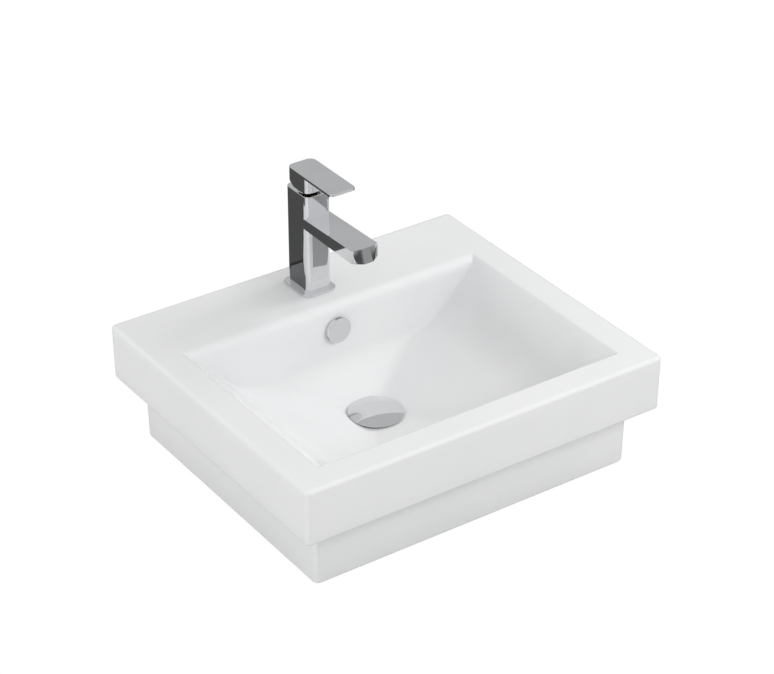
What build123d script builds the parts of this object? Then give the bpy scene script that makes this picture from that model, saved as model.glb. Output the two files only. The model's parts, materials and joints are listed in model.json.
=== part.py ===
"""Stepped rectangular ceramic basin with its single-lever mixer tap, overflow cap and click waste.

Millimetres. +X right, +Y to the back, +Z up. The origin is the centre of the plinth's foot plane.
"""

import os
from math import cos, radians, sin, tan

from build123d import *

# Basin, outside
basin_width = 520.0
basin_depth = 450.0
basin_height = 158.0
rim_height = 75.0
plinth_inset = 28.0
rim_draft = 0.8
plinth_draft = 1.0
corner_radius = 7.0
top_edge_radius = 5.0
rim_lower_radius = 3.0
foot_edge_radius = 3.0
body_wall = 12.0
deck_thickness = 12.0

# Bowl
side_rim = 40.0
front_rim = 38.0
rear_deck = 120.0
back_lip_radius = 15.0
bowl_depth = 117.5
side_slope = 48.0
side_floor_slope = 21.0
side_sweep_radius = 110.0
front_slope = 62.0
front_floor_slope = 10.0
front_sweep_radius = 55.0
back_floor_slope = 29.0
back_sweep_radius = 25.0
bowl_flat_inset = 8.2
bowl_flat_back_inset = 4.7
bowl_wall = 11.0

# Waste and overflow in the ceramic
waste_y = 17.0
waste_hole_clearance = 2.05
waste_boss_wall = 3.0
waste_boss_height = 36.5
flange_recess_clearance = 1.5
flange_recess_depth = 1.5
overflow_drop = 35.0
overflow_hole_radius = 11.0
channel_width = 36.0
channel_depth = 9.0
channel_wall = 7.0
channel_head = 13.0

# Click waste
cap_overhang = 4.7
cap_edge = 1.2
cap_crown = 3.4
cap_gap = 1.5
cap_seal_clearance = 0.3
cap_seal_bore = 19.5
cap_seal_radius = 26.0
cap_boss_radius = 5.0
cap_boss_clearance = 2.0
cap_bevel = 0.6
cap_travel = 10.0
flange_width = 10.55
flange_thickness = 1.6
waste_seal_thickness = 1.5
tail_radius = 20.95
tail_wall = 2.65
tail_length = 78.5
tail_relief_gap = 0.5
tail_relief_height = 1.5
tail_relief_depth = 0.6
tail_clearance = 0.3
overflow_slot_width = 9.0
overflow_slot_drop = 13.5
overflow_slot_height = 13.0
spider_drop = 11.5
spider_height = 6.0
spider_hub_radius = 8.5
spider_arm = 5.0
click_radius = 6.0
click_bore = 4.2
click_drop = 8.5
click_length = 26.0
click_wall = 1.6
plunger_radius = 4.1
rod_radius = 2.5
rod_clearance = 0.1
plunger_height = 4.0
spring_wire = 0.7
spring_turns = 6
gasket_height = 8.0
gasket_wall = 11.05
gasket_spigot = 5.0
slip_washer_thickness = 2.0
backnut_height = 11.0
backnut_wall = 9.05

# Overflow cap
overflow_cap_radius = 17.5
overflow_cap_depth = 5.4
overflow_cap_standoff = 1.3
overflow_cap_wall = 1.6
overflow_window = 9.0
clip_radius = 9.1
clip_wall = 1.2
clip_length = 9.0
clip_gap = 6.0
sleeve_flange_radius = 13.5
sleeve_flange_thickness = 1.2
clip_clearance = 0.1

# Tap, outside
tap_setback = 58.0
tap_hole_radius = 17.5
column_width = 38.5
column_depth = 48.5
column_radius = 9.0
column_height = 141.0
plate_margin = 5.5
plate_thickness = 3.0
plate_radius = 12.0
plate_bore = 15.0
gasket_thickness = 1.2
base_gasket_margin = 3.0
base_gasket_bore = 18.5
spout_low = 95.0
spout_high = 113.0
spout_root_low = 96.0
spout_root_high = 109.0
spout_side_reach = 125.7
nose_high_reach = 128.6
nose_low_reach = 135.0
nose_half_high = 5.5
nose_half_low = 6.5
handle_height = 24.0
handle_width = 38.5
handle_front_reach = 80.5
handle_back_reach = 19.0
handle_front_radius = 6.0
handle_back_radius = 9.0
handle_gap = 5.0
lever_thickness = 3.2
block_front_reach = 24.0
block_chamfer_y = 16.0
block_chamfer_z = 9.0
handle_edge_radius = 0.8
pocket_radius = 12.0
pocket_roof = 6.0
handle_boss_radius = 6.5
handle_boss_lift = 1.0
grub_screw_radius = 2.5
grub_screw_length = 5.0
grub_screw_drop = 12.0
index_plug_length = 5.0
index_plug_proud = 0.4

# Tap, water ways
cavity_depth = 39.0
nut_thread_length = 12.0
nut_thread_wall = 1.5
nut_bore_clearance = 0.2
cartridge_radius = 12.5
fit_clearance = 0.1
inlet_x = 6.2
inlet_y = -3.5
inlet_thread_radius = 4.6
inlet_thread_length = 14.0
inlet_bore = 2.8
spout_bore = 3.5
spout_bore_drop = 37.5
aerator_reach = 110.0
aerator_radius = 11.0
aerator_depth = 9.5
aerator_wall = 2.0
aerator_lip = 0.8
aerator_seal_thickness = 1.5
aerator_seat = 2.0
aerator_seat_bore = 7.5
aerator_insert_height = 6.0
aerator_hole = 0.8
aerator_hole_pitch = 2.6

# Cartridge
base_height = 5.0
base_spigot = 2.3
port_radius = 2.5
outlet_port_y = 5.0
outlet_width = 4.0
housing_wall = 1.5
housing_roof = 3.0
neck_radius = 8.4
neck_height = 9.5
barrel_radius = 7.0
running_gap = 0.2
fixed_disc_height = 3.5
moving_disc_height = 3.0
moving_disc_radius = 6.9
carriage_height = 6.6
socket_clearance = 0.35
socket_depth = 4.0
carrier_flange_height = 2.8
carrier_flange_radius = 10.6
slot_clearance = 0.25
pivot_drop = 7.0
pivot_radius = 1.5
pivot_clearance = 0.05
lever_arm = 13.0
handle_lift = 22.0
spindle_width = 6.4
spindle_depth = 5.0
spindle_rod = 1.6
spindle_shoulder = 4.5
ball_radius = 2.0
disc_rest_offset = 2.4
spindle_head = 17.0
collar_margin = 1.0
collar_height = 2.0
nut_hex_radius = 11.7
nut_head_height = 1.5
nut_shoulder = 1.0
o_ring_radius = 4.3

# Tap fixing under the deck
stud_radius = 4.0
stud_y = 10.5
stud_length = 50.0
stud_engagement = 12.0
horseshoe_radius = 24.0
horseshoe_slot = 26.0
horseshoe_slot_reach = 2.0
rubber_washer_thickness = 3.0
steel_washer_thickness = 2.5
fixing_nut_height = 6.5
fixing_nut_radius = 7.5

# Heights and places that follow
back_wall_y = basin_depth / 2 - rear_deck
tap_y = basin_depth / 2 - tap_setback
overflow_z = basin_height - overflow_drop
spout_side_y = tap_y - spout_side_reach
nose_high_y = tap_y - nose_high_reach
nose_low_y = tap_y - nose_low_reach
aerator_y = tap_y - aerator_reach
handle_front_y = tap_y - handle_front_reach
handle_back_y = tap_y + handle_back_reach
block_front_y = tap_y - block_front_reach
nut_thread_radius = cartridge_radius + nut_thread_wall
collar_radius = nut_thread_radius + collar_margin
tail_bore = tail_radius - tail_wall
waste_hole_radius = tail_radius + waste_hole_clearance
flange_radius = tail_radius + flange_width
flange_recess_radius = flange_radius + flange_recess_clearance
waste_boss_radius = flange_recess_radius + waste_boss_wall
cap_radius = flange_radius + cap_overhang
bowl_flat = cap_radius - bowl_flat_inset
bowl_flat_back = cap_radius - bowl_flat_back_inset
gasket_radius = tail_radius + gasket_wall
backnut_radius = tail_radius + backnut_wall
rim_foot = basin_height - rim_height
plinth_width = basin_width - 2 * plinth_inset
plinth_depth = basin_depth - 2 * plinth_inset
bowl_floor = basin_height - bowl_depth
opening_half = basin_width / 2 - side_rim
opening_front = front_rim - basin_depth / 2
deck_under = basin_height - deck_thickness
waste_boss_foot = bowl_floor - waste_boss_height
tail_end_z = bowl_floor - tail_length
overflow_slot_top = bowl_floor - overflow_slot_drop
overflow_slot_foot = overflow_slot_top - overflow_slot_height
spider_top = bowl_floor - spider_drop
spider_foot = spider_top - spider_height
click_head = bowl_floor - click_drop
click_foot = click_head - click_length
column_foot = basin_height + plate_thickness
column_top = basin_height + column_height
handle_foot = column_top + handle_gap
handle_crown = handle_foot + handle_height
cavity_floor = column_top - cavity_depth
nut_foot = column_top - nut_thread_length
base_top = cavity_floor + base_height
spigot_top = base_top + base_spigot
fixed_disc_top = spigot_top + fixed_disc_height
moving_disc_foot = fixed_disc_top + running_gap
carriage_foot = moving_disc_foot + moving_disc_height
carriage_top = carriage_foot + carriage_height
roof_foot = nut_foot - housing_roof
flange_top = roof_foot - running_gap
neck_top = nut_foot + neck_height
pivot_z = column_top - pivot_drop
housing_bore = cartridge_radius - housing_wall
spout_bore_z = column_top - spout_bore_drop
aerator_roof = basin_height + spout_low + aerator_depth
seal_foot = aerator_roof - aerator_seal_thickness
waste_seat = bowl_floor - flange_recess_depth
waste_seal_top = waste_seat + waste_seal_thickness
flange_crown = waste_seal_top + flange_thickness
cap_foot = flange_crown + cap_gap
spring_foot = click_foot + click_wall
plunger_foot = click_head - click_wall - plunger_height - cap_travel - 1.0
gasket_foot = waste_boss_foot - gasket_height
slip_washer_foot = gasket_foot - slip_washer_thickness
backnut_foot = slip_washer_foot - backnut_height
tail_relief_top = backnut_foot - tail_relief_gap
overflow_face_y = back_wall_y - overflow_cap_standoff - overflow_cap_depth
ball_z = pivot_z - lever_arm
spindle_top = handle_foot + spindle_head
spindle_foot = pivot_z - spindle_shoulder
grub_screw_z = handle_crown - grub_screw_drop
rubber_foot = deck_under - rubber_washer_thickness
steel_foot = rubber_foot - steel_washer_thickness
fixing_nut_foot = steel_foot - fixing_nut_height
stud_top = column_foot + stud_engagement
cap_boss_foot = click_head + cap_boss_clearance
clear = 20.0

os.makedirs("parts", exist_ok=True)


def finish(piece, name):
    """Label a finished piece and write it to its own file."""
    piece.part.label = name
    export_step(piece.part, f"parts/{name}.step")


def tap_plane(height):
    """A level plane on the tap's axis."""
    return Plane((0, tap_y, height))


def waste_plane(height):
    """A level plane on the waste's axis."""
    return Plane((0, waste_y, height))


def side_profile_points():
    """Half of the bowl's section across the basin, from the flat at the waste up to the deck."""
    flat = (bowl_flat, bowl_floor)
    steep = tan(radians(side_slope))
    gentle = tan(radians(side_floor_slope))
    knee_x = (steep * opening_half - bowl_depth - gentle * bowl_flat) / (steep - gentle)
    knee = (knee_x, basin_height - steep * (opening_half - knee_x))
    lip = (opening_half, basin_height)
    return flat, knee, lip


def front_profile_points():
    """The bowl's section from front to back: lip, knee, both ends of the flat, and the rear corner."""
    steep = tan(radians(front_slope))
    gentle = tan(radians(front_floor_slope))
    flat_front = waste_y - bowl_flat
    flat_back = waste_y + bowl_flat_back
    knee_y = (bowl_depth + steep * opening_front - gentle * flat_front) / (steep - gentle)
    knee_z = basin_height - steep * (knee_y - opening_front)
    corner_z = bowl_floor + tan(radians(back_floor_slope)) * (back_wall_y - flat_back)
    return (
        (opening_front, basin_height),
        (knee_y, knee_z),
        (flat_front, bowl_floor),
        (flat_back, bowl_floor),
        (back_wall_y, corner_z),
    )


def bowl_form(grow):
    """The bowl's space, or with grow its space and that thickness of ceramic round it."""
    flat, knee, side_lip = side_profile_points()
    front_lip, front_knee, flat_front, flat_back, rear_corner = front_profile_points()
    above = basin_height + clear
    with BuildPart() as form:
        with BuildSketch(Plane.XZ) as across:
            with BuildLine():
                right = [flat, knee, side_lip, (side_lip[0], above)]
                left = [(-x, z) for x, z in reversed(right)]
                Polyline(*right, *left, close=True)
            make_face()
            knees = across.vertices().filter_by(lambda v: abs(v.Y - knee[1]) < 0.01)
            fillet(knees, side_sweep_radius)
            if grow:
                offset(amount=grow)
        extrude(amount=basin_depth, both=True)
        with BuildSketch(Plane.YZ) as along:
            with BuildLine():
                lip_foot = (back_wall_y, basin_height - back_lip_radius)
                lip_head = (back_wall_y + back_lip_radius, basin_height)
                Polyline(flat_front, flat_back, rear_corner, lip_foot)
                RadiusArc(lip_foot, lip_head, back_lip_radius)
                Polyline(lip_head, (lip_head[0], above), (front_lip[0], above))
                Polyline((front_lip[0], above), front_lip, front_knee, flat_front)
            make_face()
            at_knee = along.vertices().filter_by(lambda v: abs(v.Y - front_knee[1]) < 0.01)
            fillet(at_knee, front_sweep_radius)
            at_corner = along.vertices().filter_by(lambda v: abs(v.Y - rear_corner[1]) < 0.01)
            fillet(at_corner, back_sweep_radius)
            if grow:
                offset(amount=grow)
        extrude(amount=basin_width, both=True, mode=Mode.INTERSECT)
    return form.part


def channel_form(grow):
    """The overflow channel: down behind the bowl's back wall, then under its floor to the waste."""
    near = back_wall_y + bowl_wall
    slope = tan(radians(back_floor_slope))
    drop = channel_depth / cos(radians(back_floor_slope))
    floor_under = bowl_wall / cos(radians(back_floor_slope))
    flat_back = waste_y + bowl_flat_back
    roof_at_flat = bowl_floor - floor_under
    inner_y = waste_y + 0.6 * waste_hole_radius

    def roof(y):
        return roof_at_flat + slope * (y - flat_back)

    far = near + channel_depth
    head = overflow_z + channel_head
    with BuildPart() as form:
        with BuildSketch(Plane.YZ):
            with BuildLine():
                Polyline(
                    (near, head),
                    (far, head),
                    (far, roof(far) - drop),
                    (inner_y, roof(inner_y) - drop),
                    (inner_y, roof(inner_y)),
                    (near, roof(near)),
                    close=True,
                )
            make_face()
            if grow:
                offset(amount=grow, kind=Kind.INTERSECTION)
        extrude(amount=channel_width / 2 + grow, both=True)
    return form.part


def ring(plane, outer, bore, height):
    """A plain ring or disc standing on a plane."""
    with BuildPart() as made:
        with BuildSketch(plane):
            Circle(outer)
            if bore:
                Circle(bore, mode=Mode.SUBTRACT)
        extrude(amount=height)
    return made


def across_plane(y, z):
    """A plane square to Y, facing the back, on the middle line."""
    return Plane((0, y, z), x_dir=(1, 0, 0), z_dir=(0, 1, 0))


def side_plane(y, z):
    """A plane square to X on the middle line."""
    return Plane((0, y, z), x_dir=(0, 1, 0), z_dir=(1, 0, 0))


def outer_block(width, depth, top, height, draft):
    """A rounded rectangular block that narrows downwards."""
    with BuildPart() as block:
        with BuildSketch(Plane.XY.offset(top)):
            RectangleRounded(width, depth, corner_radius)
        extrude(amount=-height, taper=draft)
    return block.part


# Basin: a stepped shell, the bowl hanging in it, the channel and the waste boss under the bowl
bowl_space = bowl_form(0)
bowl_skin = bowl_form(bowl_wall)
channel_space = channel_form(0)
channel_skin = channel_form(channel_wall)
rim_block = outer_block(basin_width, basin_depth, basin_height, rim_height, rim_draft)
plinth_block = outer_block(plinth_width, plinth_depth, rim_foot + 1, rim_foot + 1, plinth_draft)

with BuildPart() as boss:
    with BuildSketch(waste_plane(waste_boss_foot)):
        Circle(waste_boss_radius)
    extrude(amount=bowl_floor - waste_boss_foot)

with BuildPart() as hollow:
    with BuildSketch():
        RectangleRounded(plinth_width - 2 * body_wall, plinth_depth - 2 * body_wall, corner_radius)
    extrude(amount=deck_under)
    with BuildSketch(Plane.XY.offset(rim_foot + body_wall)):
        RectangleRounded(basin_width - 2 * body_wall, basin_depth - 2 * body_wall, corner_radius)
    extrude(amount=deck_under - rim_foot - body_wall)
    add(bowl_skin, mode=Mode.SUBTRACT)
    add(channel_skin, mode=Mode.SUBTRACT)
    add(boss.part, mode=Mode.SUBTRACT)
    with BuildSketch(Plane.XY.offset(waste_boss_foot)):
        RectangleRounded(plinth_width - 2 * body_wall, plinth_depth - 2 * body_wall, corner_radius)
    extrude(amount=-clear)

with BuildPart() as basin:
    add(rim_block)
    fillet(basin.faces().sort_by(Axis.Z)[-1].edges(), top_edge_radius)
    fillet(basin.faces().sort_by(Axis.Z)[0].edges(), rim_lower_radius)
    add(plinth_block)
    fillet(basin.faces().sort_by(Axis.Z)[0].edges(), foot_edge_radius)
    add(hollow.part, mode=Mode.SUBTRACT)
    add(bowl_space, mode=Mode.SUBTRACT)
    add(channel_space, mode=Mode.SUBTRACT)
    with BuildSketch(waste_plane(waste_boss_foot - 1)):
        Circle(waste_hole_radius)
    extrude(amount=bowl_floor, mode=Mode.SUBTRACT)
    with BuildSketch(waste_plane(waste_seat)):
        Circle(flange_recess_radius)
    extrude(amount=clear, mode=Mode.SUBTRACT)
    with BuildSketch(Plane.XZ.offset(-back_wall_y + 1)):
        with Locations((0, overflow_z)):
            Circle(overflow_hole_radius)
    extrude(amount=-bowl_wall - 2, mode=Mode.SUBTRACT)
    with BuildSketch(tap_plane(deck_under - 1)):
        Circle(tap_hole_radius)
    extrude(amount=deck_thickness + 2, mode=Mode.SUBTRACT)
finish(basin, "basin")


# Click waste: body with its flange, overflow slots, spider and threaded tail
with BuildPart() as waste_body:
    with BuildSketch(waste_plane(waste_seal_top)):
        Circle(flange_radius)
    extrude(amount=flange_thickness)
    fillet(waste_body.faces().sort_by(Axis.Z)[-1].edges(), flange_thickness / 2)
    with BuildSketch(waste_plane(tail_end_z)):
        Circle(tail_radius)
    extrude(amount=waste_seal_top - tail_end_z)
    with BuildSketch(waste_plane(tail_relief_top)):
        Circle(tail_radius + 1)
        Circle(tail_radius - tail_relief_depth, mode=Mode.SUBTRACT)
    extrude(amount=-tail_relief_height, mode=Mode.SUBTRACT)
    with BuildSketch(waste_plane(tail_end_z - 1)):
        Circle(tail_bore)
    extrude(amount=flange_crown - tail_end_z + 2, mode=Mode.SUBTRACT)
    with BuildSketch(waste_plane(spider_foot)):
        Circle(spider_hub_radius)
        Rectangle(2 * tail_bore + 1, spider_arm)
        Rectangle(spider_arm, 2 * tail_bore + 1)
    extrude(amount=spider_top - spider_foot)
    with BuildSketch(waste_plane(spider_foot - 1)):
        Circle(click_radius + fit_clearance / 2)
    extrude(amount=spider_top - spider_foot + 2, mode=Mode.SUBTRACT)
    for turn in (45, 135):
        slot_centre = (0, waste_y, (overflow_slot_top + overflow_slot_foot) / 2)
        tangent = (cos(radians(turn)), sin(radians(turn)), 0)
        outward = (-sin(radians(turn)), cos(radians(turn)), 0)
        with BuildSketch(Plane(slot_centre, x_dir=tangent, z_dir=outward)):
            SlotOverall(overflow_slot_top - overflow_slot_foot, overflow_slot_width, rotation=90)
        extrude(amount=tail_radius + 1, both=True, mode=Mode.SUBTRACT)
finish(waste_body, "waste_body")

# Click waste: what seals and clamps it to the ceramic
flange_seal = ring(
    waste_plane(waste_seat), flange_radius - 0.5, waste_hole_radius + 0.5, waste_seal_thickness
)
finish(flange_seal, "flange_seal")

with BuildPart() as waste_gasket:
    with BuildSketch(waste_plane(gasket_foot)):
        Circle(gasket_radius)
    extrude(amount=gasket_height)
    with BuildSketch(waste_plane(waste_boss_foot)):
        Circle(waste_hole_radius - tail_clearance)
    extrude(amount=gasket_spigot, taper=6)
    with BuildSketch(waste_plane(gasket_foot)):
        Circle(tail_radius + tail_clearance)
    extrude(amount=gasket_height + gasket_spigot, mode=Mode.SUBTRACT)
finish(waste_gasket, "waste_gasket")

slip_washer = ring(
    waste_plane(slip_washer_foot), gasket_radius - 1, tail_radius + tail_clearance, slip_washer_thickness)
finish(slip_washer, "slip_washer")

with BuildPart() as waste_backnut:
    with BuildSketch(waste_plane(backnut_foot)):
        RegularPolygon(backnut_radius, 6)
        Circle(tail_radius + fit_clearance / 2, mode=Mode.SUBTRACT)
    extrude(amount=backnut_height)
    chamfer(waste_backnut.edges().filter_by(GeomType.LINE).filter_by(Axis.Z, reverse=True), 1.0)
finish(waste_backnut, "waste_backnut")

# Click waste: the moving cap with its seal and plunger, and the latch housing that they slide in
with BuildPart() as waste_cap:
    with BuildSketch(Plane((0, waste_y, 0), x_dir=(1, 0, 0), z_dir=(0, -1, 0))):
        with BuildLine():
            crown = (0, cap_foot + cap_edge + cap_crown)
            edge_head = (cap_radius, cap_foot + cap_edge)
            edge_foot = (cap_radius, cap_foot + cap_bevel)
            Polyline(crown, (0, cap_foot), (cap_radius - 2 * cap_bevel, cap_foot), edge_foot, edge_head)
            TangentArc(crown, edge_head, tangent=(1, 0))
        make_face()
    revolve(axis=Axis((0, waste_y, 0), (0, 0, 1)))
    with BuildSketch(waste_plane(cap_boss_foot)):
        Circle(cap_boss_radius)
    extrude(amount=cap_foot - cap_boss_foot)
    with BuildSketch(waste_plane(cap_boss_foot)):
        Circle(rod_radius + fit_clearance / 2)
    extrude(amount=cap_foot - cap_boss_foot - 1, mode=Mode.SUBTRACT)
finish(waste_cap, "waste_cap")

waste_cap_seal = ring(
    waste_plane(flange_crown + cap_seal_clearance),
    cap_seal_radius,
    cap_seal_bore,
    cap_gap - cap_seal_clearance,
)
finish(waste_cap_seal, "waste_cap_seal")

with BuildPart() as click_plunger:
    with BuildSketch(waste_plane(plunger_foot)):
        Circle(plunger_radius)
    extrude(amount=plunger_height)
    with BuildSketch(waste_plane(plunger_foot)):
        Circle(rod_radius)
    extrude(amount=cap_foot - 1.2 - plunger_foot)
finish(click_plunger, "click_plunger")

with BuildPart() as click_housing:
    with BuildSketch(waste_plane(click_foot)):
        Circle(click_radius)
    extrude(amount=click_head - click_foot)
    with BuildSketch(waste_plane(spring_foot)):
        Circle(click_bore)
    extrude(amount=click_head - click_wall - spring_foot, mode=Mode.SUBTRACT)
    with BuildSketch(waste_plane(click_head)):
        Circle(rod_radius + rod_clearance)
    extrude(amount=-2 * click_wall, mode=Mode.SUBTRACT)
finish(click_housing, "click_housing")

with BuildPart() as click_spring:
    coil_height = plunger_foot - spring_foot - spring_wire - 2 * fit_clearance
    coil_radius = click_bore - spring_wire / 2 - 3 * fit_clearance
    coil_foot = spring_foot + spring_wire / 2 + fit_clearance
    with BuildLine() as coil:
        Helix(coil_height / spring_turns, coil_height, coil_radius, center=(0, waste_y, coil_foot))
    with BuildSketch(Plane(origin=coil.line @ 0, z_dir=coil.line % 0)):
        Circle(spring_wire / 2)
    sweep(path=coil.line, is_frenet=True)
finish(click_spring, "click_spring")

# Overflow: a cap that clips into a sleeve in the back wall
with BuildPart() as overflow_cap:
    with BuildSketch(across_plane(overflow_face_y, overflow_z)):
        Circle(overflow_cap_radius)
    extrude(amount=overflow_cap_depth)
    fillet(overflow_cap.faces().sort_by(Axis.Y)[0].edges(), overflow_cap_wall / 2)
    with BuildSketch(across_plane(overflow_face_y + overflow_cap_wall, overflow_z)):
        Circle(overflow_cap_radius - overflow_cap_wall)
    extrude(amount=overflow_cap_depth, mode=Mode.SUBTRACT)
    with BuildSketch(across_plane(overflow_face_y + overflow_cap_wall, overflow_z)):
        with PolarLocations(overflow_cap_radius, 3, start_angle=-90):
            Rectangle(3 * overflow_cap_wall, overflow_window)
    extrude(amount=overflow_cap_depth - 2 * overflow_cap_wall, mode=Mode.SUBTRACT)
    with BuildSketch(across_plane(overflow_face_y + overflow_cap_wall / 2, overflow_z)):
        Circle(clip_radius)
        Circle(clip_radius - clip_wall, mode=Mode.SUBTRACT)
        Rectangle(3 * clip_radius, clip_gap, mode=Mode.SUBTRACT)
        Rectangle(clip_gap, 3 * clip_radius, mode=Mode.SUBTRACT)
    extrude(amount=back_wall_y + clip_length - overflow_face_y - overflow_cap_wall / 2)
finish(overflow_cap, "overflow_cap")

with BuildPart() as overflow_sleeve:
    with BuildSketch(across_plane(back_wall_y - sleeve_flange_thickness, overflow_z)):
        Circle(sleeve_flange_radius)
    extrude(amount=sleeve_flange_thickness)
    with BuildSketch(across_plane(back_wall_y, overflow_z)):
        Circle(overflow_hole_radius - fit_clearance)
    extrude(amount=bowl_wall)
    with BuildSketch(across_plane(back_wall_y - sleeve_flange_thickness, overflow_z)):
        Circle(clip_radius + clip_clearance)
    extrude(amount=bowl_wall + sleeve_flange_thickness, mode=Mode.SUBTRACT)
finish(overflow_sleeve, "overflow_sleeve")

# Tap: base plate and its gasket on the deck
plate_width = column_width + 2 * plate_margin
plate_depth = column_depth + 2 * plate_margin + 1

with BuildPart() as base_plate:
    with BuildSketch(tap_plane(basin_height)):
        RectangleRounded(plate_width, plate_depth, plate_radius)
    extrude(amount=plate_thickness)
    fillet(base_plate.faces().sort_by(Axis.Z)[-1].edges(), 1.0)
    with BuildSketch(tap_plane(basin_height)):
        RectangleRounded(
            plate_width - 2 * base_gasket_margin,
            plate_depth - 2 * base_gasket_margin,
            plate_radius - base_gasket_margin,
        )
    extrude(amount=gasket_thickness, mode=Mode.SUBTRACT)
    with BuildSketch(tap_plane(basin_height)):
        Circle(base_gasket_bore)
    extrude(amount=gasket_thickness)
    with BuildSketch(tap_plane(basin_height)):
        Circle(plate_bore)
    extrude(amount=plate_thickness, mode=Mode.SUBTRACT)
finish(base_plate, "base_plate")

with BuildPart() as base_gasket:
    with BuildSketch(tap_plane(basin_height)):
        RectangleRounded(
            plate_width - 2 * base_gasket_margin - 2 * fit_clearance,
            plate_depth - 2 * base_gasket_margin - 2 * fit_clearance,
            plate_radius - base_gasket_margin,
        )
        Circle(base_gasket_bore + fit_clearance, mode=Mode.SUBTRACT)
    extrude(amount=gasket_thickness)
finish(base_gasket, "base_gasket")


# Tap: one casting of column and spout
def spout_outline(nose_y, nose_half):
    """The spout's plan at one height: straight sides and a three-faced nose."""
    half = column_width / 2
    return [(-half, tap_y), (half, tap_y), (half, spout_side_y), (nose_half, nose_y), (-nose_half, nose_y),
            (-half, spout_side_y)]


with BuildPart() as spout:
    with BuildSketch(Plane.XY.offset(basin_height + spout_low)):
        Polygon(*spout_outline(nose_low_y, nose_half_low), align=None)
    with BuildSketch(Plane.XY.offset(basin_height + spout_high)):
        Polygon(*spout_outline(nose_high_y, nose_half_high), align=None)
    loft(ruled=True)
    with BuildSketch(Plane.YZ):
        Polygon(
            (nose_low_y - 1, basin_height + spout_low),
            (tap_y, basin_height + spout_root_low),
            (tap_y, basin_height + spout_root_high),
            (nose_high_y, basin_height + spout_high),
            (nose_low_y - 1, basin_height + spout_high),
            align=None,
        )
    extrude(amount=column_width, both=True, mode=Mode.INTERSECT)

with BuildPart() as tap_body:
    with BuildSketch(tap_plane(column_foot)):
        RectangleRounded(column_width, column_depth, column_radius)
    extrude(amount=column_top - column_foot)
    fillet(tap_body.faces().sort_by(Axis.Z)[-1].edges(), 1.0)
    add(spout.part)
    with BuildSketch(tap_plane(cavity_floor)):
        Circle(cartridge_radius + fit_clearance)
    extrude(amount=cavity_depth, mode=Mode.SUBTRACT)
    with BuildSketch(tap_plane(nut_foot)):
        Circle(nut_thread_radius)
    extrude(amount=nut_thread_length, mode=Mode.SUBTRACT)
    with BuildSketch(tap_plane(column_foot)):
        with Locations((inlet_x, inlet_y), (-inlet_x, inlet_y)):
            Circle(inlet_bore)
    extrude(amount=cavity_floor - column_foot, mode=Mode.SUBTRACT)
    with BuildSketch(tap_plane(column_foot)):
        with Locations((inlet_x, inlet_y), (-inlet_x, inlet_y)):
            Circle(inlet_thread_radius)
    extrude(amount=inlet_thread_length, mode=Mode.SUBTRACT)
    with BuildSketch(tap_plane(column_foot)):
        with Locations((0, stud_y)):
            Circle(stud_radius + fit_clearance / 2)
    extrude(amount=stud_engagement + 1, mode=Mode.SUBTRACT)
    with BuildSketch(across_plane(aerator_y, spout_bore_z)):
        Circle(spout_bore)
    extrude(amount=tap_y - aerator_y - inlet_bore - spout_bore - 3, mode=Mode.SUBTRACT)
    with BuildSketch(Plane((0, aerator_y, basin_height + spout_low - 1))):
        Circle(aerator_radius)
    extrude(amount=aerator_depth + 1, mode=Mode.SUBTRACT)
    with BuildSketch(Plane((0, aerator_y, aerator_roof))):
        Circle(aerator_seat_bore)
    extrude(amount=aerator_seat, mode=Mode.SUBTRACT)
finish(tap_body, "tap_body")

# Tap: aerator under the spout's nose
with BuildPart() as aerator_housing:
    with BuildSketch(Plane((0, aerator_y, basin_height + spout_low - aerator_lip))):
        Circle(aerator_radius - fit_clearance / 2)
    extrude(amount=seal_foot - basin_height - spout_low + aerator_lip)
    with BuildSketch(Plane((0, aerator_y, basin_height + spout_low - aerator_lip))):
        Circle(aerator_radius - 1.5 * aerator_wall)
    extrude(amount=aerator_depth + aerator_lip, mode=Mode.SUBTRACT)
    with BuildSketch(Plane((0, aerator_y, basin_height + spout_low + aerator_lip))):
        Circle(aerator_radius - aerator_wall)
    extrude(amount=aerator_depth, mode=Mode.SUBTRACT)
finish(aerator_housing, "aerator_housing")

with BuildPart() as aerator_insert:
    with BuildSketch(Plane((0, aerator_y, basin_height + spout_low + aerator_lip))):
        Circle(aerator_radius - aerator_wall - fit_clearance)
        with HexLocations(aerator_hole_pitch / 2, 5, 5):
            Circle(aerator_hole, mode=Mode.SUBTRACT)
    extrude(amount=aerator_insert_height)
finish(aerator_insert, "aerator_insert")

aerator_seal = ring(
    Plane((0, aerator_y, seal_foot)),
    aerator_radius - fit_clearance,
    aerator_seat_bore,
    aerator_seal_thickness,
)
finish(aerator_seal, "aerator_seal")

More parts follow.
